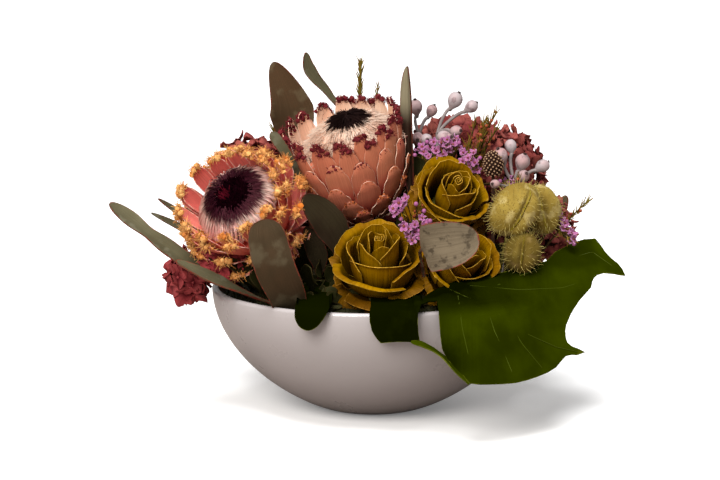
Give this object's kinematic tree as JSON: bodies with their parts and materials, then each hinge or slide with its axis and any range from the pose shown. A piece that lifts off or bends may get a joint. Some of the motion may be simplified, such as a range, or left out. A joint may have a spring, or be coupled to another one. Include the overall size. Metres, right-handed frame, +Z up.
{
  "type": "floral table centerpiece",
  "caption": "Low table centerpiece: proteas, roses, hydrangea, pods, long leaves and a cut-leaf blade massed in a round glazed bowl, with a flat foot that rests on a table.",
  "frame": {"origin": "centre of the bowl's foot on the table", "axes": "+X to the right seen from the front, +Y to the back, +Z up; the front faces -Y"},
  "size_m": [0.3759, 0.2736, 0.2647],
  "materials": {
    "bowl": "smooth glossy white glaze with a soft warm cast",
    "cut_leaf": "dark satin upper side, paler underside",
    "foam": "dark floral foam and moss, coarse and matte",
    "gum_nuts_beside": "silvery bloom with a pink blush",
    "gum_nuts_right": "silvery bloom with a pink blush",
    "gum_nuts_tall": "silvery bloom with a pink blush",
    "hydrangea_back_far_left": "papery dusty petals with fine veins",
    "hydrangea_back_far_right": "papery dusty petals with fine veins",
    "hydrangea_back_left": "papery dusty petals with fine veins",
    "hydrangea_back_middle": "papery dusty petals with fine veins",
    "hydrangea_back_right": "papery dusty petals with fine veins",
    "hydrangea_low_left": "papery dusty petals with fine veins",
    "hydrangea_side_right": "papery dusty petals with fine veins",
    "leaf_back_broad": "leathery, matte, thin red edge",
    "leaf_back_narrow": "leathery, matte, thin red edge",
    "leaf_behind_left": "leathery, matte, mottled",
    "leaf_behind_middle": "leathery, matte, mottled",
    "leaf_behind_right": "leathery, matte, mottled",
    "leaf_beside_left": "leathery, matte, thin red edge",
    "leaf_beside_right": "leathery, matte, thin red edge",
    "leaf_front_broad": "leathery, matte, mottled",
    "leaf_long_left": "leathery, matte, mottled",
    "leaf_low_left": "leathery, matte, mottled",
    "leaf_middle_dark": "leathery, matte, mottled",
    "leaf_middle_low": "leathery, matte, mottled",
    "leaf_pointing_right": "leathery, matte, mottled",
    "leaf_side_left": "leathery, matte, mottled",
    "leaf_side_right": "leathery, matte, mottled",
    "leaf_small_left": "leathery, matte, mottled",
    "leaf_small_left_upper": "leathery, matte, mottled",
    "pod_lower": "thin matte skin with soft hairs",
    "pod_rear": "thin matte skin with soft hairs",
    "pod_upper": "thin matte skin with soft hairs",
    "protea_left_bracts": "satin bracts with pale edges and orange woolly tips",
    "protea_left_crown": "dense dark hairs",
    "protea_left_styles": "dense pink and cream hairs",
    "protea_top_bracts": "satin bracts with pale edges and dark woolly tips",
    "protea_top_crown": "dense dark hairs",
    "protea_top_styles": "dense cream wool",
    "rose_front": "soft satin petals with pale worn edges",
    "rose_right": "soft satin petals with pale worn edges",
    "rose_top": "soft satin petals with pale worn edges",
    "seed_head_by_protea": "dry scaly beads",
    "seed_head_by_rose": "dry scaly beads",
    "twig_above_wax": "fine dry needles",
    "twig_behind_protea": "fine dry needles",
    "twig_far_right": "fine dry needles",
    "wax_flower_above_rose": "soft waxy petals",
    "wax_flower_beside_rose": "soft waxy petals",
    "wax_flower_between_roses": "soft waxy petals",
    "wax_flower_low_right": "soft waxy petals"
  },
  "bodies": {
    "root": {"bowl": "bowl", "cut_leaf": "cut_leaf", "foam": "foam", "gum_nuts_beside": "gum_nuts_beside", "gum_nuts_right": "gum_nuts_right", "gum_nuts_tall": "gum_nuts_tall", "hydrangea_back_far_left": "hydrangea_back_far_left", "hydrangea_back_far_right": "hydrangea_back_far_right", "hydrangea_back_left": "hydrangea_back_left", "hydrangea_back_middle": "hydrangea_back_middle", "hydrangea_back_right": "hydrangea_back_right", "hydrangea_low_left": "hydrangea_low_left", "hydrangea_side_right": "hydrangea_side_right", "leaf_back_broad": "leaf_back_broad", "leaf_back_narrow": "leaf_back_narrow", "leaf_behind_left": "leaf_behind_left", "leaf_behind_middle": "leaf_behind_middle", "leaf_behind_right": "leaf_behind_right", "leaf_beside_left": "leaf_beside_left", "leaf_beside_right": "leaf_beside_right", "leaf_front_broad": "leaf_front_broad", "leaf_long_left": "leaf_long_left", "leaf_low_left": "leaf_low_left", "leaf_middle_dark": "leaf_middle_dark", "leaf_middle_low": "leaf_middle_low", "leaf_pointing_right": "leaf_pointing_right", "leaf_side_left": "leaf_side_left", "leaf_side_right": "leaf_side_right", "leaf_small_left": "leaf_small_left", "leaf_small_left_upper": "leaf_small_left_upper", "pod_lower": "pod_lower", "pod_rear": "pod_rear", "pod_upper": "pod_upper", "protea_left_bracts": "protea_left_bracts", "protea_left_crown": "protea_left_crown", "protea_left_styles": "protea_left_styles", "protea_top_bracts": "protea_top_bracts", "protea_top_crown": "protea_top_crown", "protea_top_styles": "protea_top_styles", "rose_front": "rose_front", "rose_right": "rose_right", "rose_top": "rose_top", "seed_head_by_protea": "seed_head_by_protea", "seed_head_by_rose": "seed_head_by_rose", "twig_above_wax": "twig_above_wax", "twig_behind_protea": "twig_behind_protea", "twig_far_right": "twig_far_right", "wax_flower_above_rose": "wax_flower_above_rose", "wax_flower_beside_rose": "wax_flower_beside_rose", "wax_flower_between_roses": "wax_flower_between_roses", "wax_flower_low_right": "wax_flower_low_right"}
  },
  "joints": []
}
